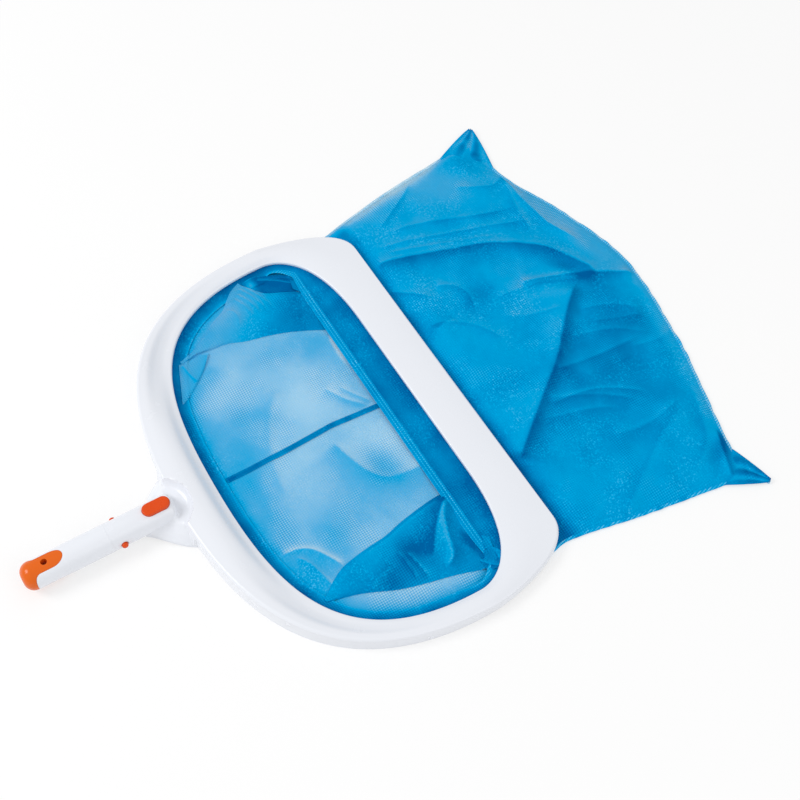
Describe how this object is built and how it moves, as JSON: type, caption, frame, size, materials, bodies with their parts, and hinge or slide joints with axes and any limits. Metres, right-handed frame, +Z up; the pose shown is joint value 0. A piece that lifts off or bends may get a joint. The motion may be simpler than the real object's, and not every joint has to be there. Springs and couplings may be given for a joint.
{
  "type": "pool leaf skimmer net",
  "caption": "Leaf skimmer head: a D-shaped moulded frame with a flat lip, a tube handle with a quick-release pole lock, and a deep mesh bag.",
  "frame": {"origin": "middle of the handle tube's bearing length, on the tube's axis", "axes": "+X across the mouth, +Y from the handle to the lip, +Z up out of the mouth"},
  "size_m": [0.5358, 0.69, 0.033],
  "materials": {
    "white_plastic": "smooth injection moulded, slightly glossy white",
    "orange_plastic": "glossy orange",
    "signal_plastic": "satin red-orange",
    "net": "fine woven mesh, one layer see-through",
    "binding": "folded and stitched mesh",
    "screw_steel": "plain steel"
  },
  "bodies": {
    "head": {"frame_top": "white_plastic", "handle_tube": "white_plastic", "frame_base": "white_plastic", "frame_screws": "screw_steel", "hem_cord": "binding", "mouth_band": "net", "mouth_seam": "binding", "net_lower_panel": "net", "net_upper_panel": "net", "centre_seam": "binding", "side_seam_left": "binding", "side_seam_right": "binding", "end_seam": "binding", "end_cap": "orange_plastic"},
    "button": {"release_button": "signal_plastic"},
    "leg_left": {"lock_leg_left": "signal_plastic"},
    "leg_right": {"lock_leg_right": "signal_plastic"}
  },
  "joints": [
    {"name": "button_press", "type": "slide", "parent": "head", "child": "button", "axis": [0, 0, -1], "range_m": [0, 0.004], "stiffness_N_per_m": 1500, "springref_m": -0.0015},
    {"name": "leg_left_swing", "type": "hinge", "parent": "head", "child": "leg_left", "pos_m": [-0.0068, -0.043, 0], "axis": [0, 0, -1], "range_deg": [0, 2.56]},
    {"name": "leg_right_swing", "type": "hinge", "parent": "head", "child": "leg_right", "pos_m": [0.0068, -0.043, 0], "axis": [0, 0, 1], "range_deg": [0, 2.56]}
  ],
  "couplings": [
    {"joint": "leg_left_swing", "follows": "button_press", "rad_per_m": 11.152},
    {"joint": "leg_right_swing", "follows": "button_press", "rad_per_m": 11.152}
  ]
}
